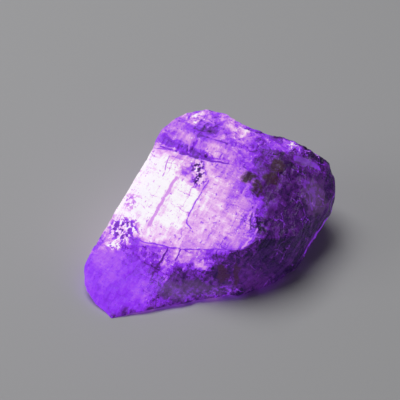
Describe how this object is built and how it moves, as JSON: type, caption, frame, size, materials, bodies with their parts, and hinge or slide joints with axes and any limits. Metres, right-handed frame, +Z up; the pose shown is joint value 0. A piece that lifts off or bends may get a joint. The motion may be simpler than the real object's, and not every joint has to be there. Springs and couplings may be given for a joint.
{
  "type": "scapolite, rough crystal piece",
  "caption": "Rough broken piece of purple scapolite, see-through violet to lilac, resting on its own flat spot.",
  "frame": {"origin": "on the surface that the stone rests on, under the middle of its bounding box", "axes": "+X along the stone's longest side, +Y away from the side with the broad bright face, +Z up"},
  "size_m": [0.038, 0.0288, 0.0177],
  "materials": {
    "scapolite": "gloss"
  },
  "bodies": {
    "root": {"scapolite_crystal": "scapolite"}
  },
  "joints": []
}
